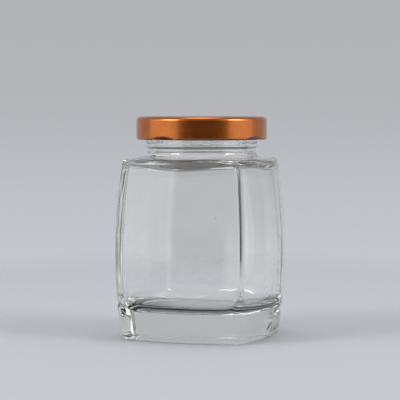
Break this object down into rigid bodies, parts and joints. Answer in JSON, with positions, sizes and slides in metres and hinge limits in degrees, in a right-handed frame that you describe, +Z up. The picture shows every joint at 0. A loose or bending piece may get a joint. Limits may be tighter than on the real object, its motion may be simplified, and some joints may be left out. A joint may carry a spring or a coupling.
{
  "type": "lidded glass food jar",
  "caption": "Empty clear glass food jar, square with bowed sides and a heavy base, closed by a copper-coloured twist-off metal lug cap.",
  "frame": {"origin": "middle of the foot, on the surface the jar stands on", "axes": "+Z up along the jar's axis, with its four broad faces towards +X, -X, +Y and -Y"},
  "size_m": [0.075, 0.075, 0.1032],
  "materials": {
    "clear_glass": "clear polished glass with a very faint green-grey tint",
    "copper_lacquer": "satin metallic copper lacquer on thin sheet steel"
  },
  "bodies": {
    "root": {"jar": "clear_glass", "cap": "copper_lacquer"}
  },
  "joints": []
}
